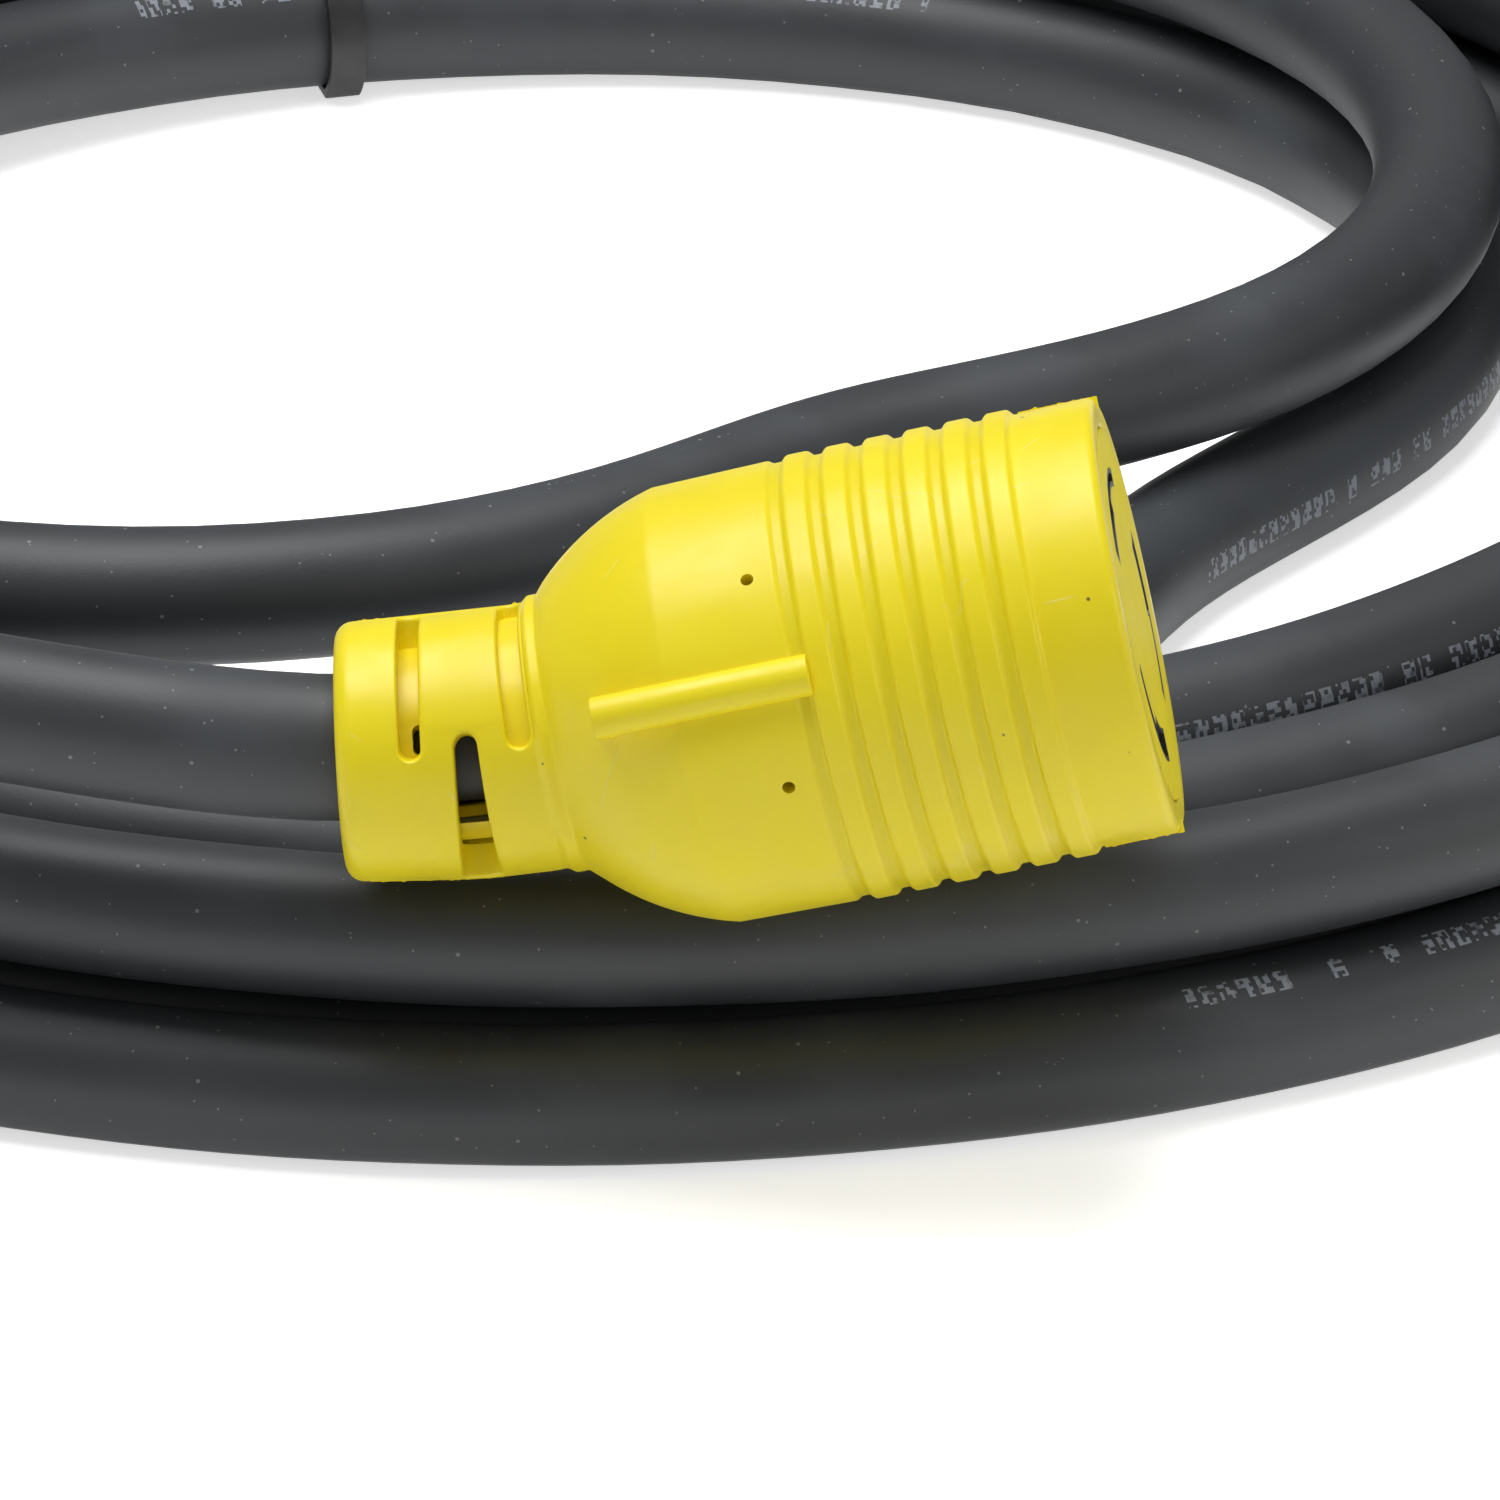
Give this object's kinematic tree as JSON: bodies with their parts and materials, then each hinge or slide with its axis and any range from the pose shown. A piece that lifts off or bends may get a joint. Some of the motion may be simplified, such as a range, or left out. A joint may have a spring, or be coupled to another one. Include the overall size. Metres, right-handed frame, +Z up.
{
  "type": "shore power cord",
  "caption": "Coiled heavy cable with a moulded, ribbed locking connector on one end and a bladed plug on the other, held by a tie.",
  "frame": {"origin": "on the floor plane, under the middle of the whole cord's outline", "axes": "+X from the coil towards the plug's side, +Y away from the connector, which lies on the near side of the coil and points towards +X, +Z up"},
  "size_m": [0.5091, 0.4317, 0.0937],
  "materials": {
    "moulding": "semi-gloss soft PVC moulding",
    "sleeve": "semi-gloss soft PVC",
    "face": "smooth hard plastic",
    "housing": "matte hard plastic",
    "brass": "rolled and stamped",
    "copper": "bare stranded copper",
    "jacket": "matt extruded jacket",
    "wire_black": "extruded insulation",
    "wire_white": "extruded insulation",
    "wire_green": "extruded insulation",
    "tie": "moulded nylon"
  },
  "bodies": {
    "root": {"connector_body": "moulding", "connector_sleeve": "sleeve", "connector_jacket_end": "jacket", "contact_housing": "housing", "connector_face": "face", "contact_hot": "brass", "contact_neutral": "brass", "contact_ground": "brass", "connector_wire_black": "wire_black", "connector_wire_white": "wire_white", "connector_wire_green": "wire_green", "connector_conductors": "copper", "connector_lead": "jacket", "cable_coil": "jacket", "plug_lead": "jacket", "coil_tie": "tie", "plug_body": "moulding", "plug_sleeve": "sleeve", "plug_jacket_end": "jacket", "plug_insert": "face", "blade_hot": "brass", "blade_neutral": "brass", "ground_pin": "brass", "plug_wire_black": "wire_black", "plug_wire_white": "wire_white", "plug_wire_green": "wire_green", "plug_conductors": "copper"}
  },
  "joints": []
}
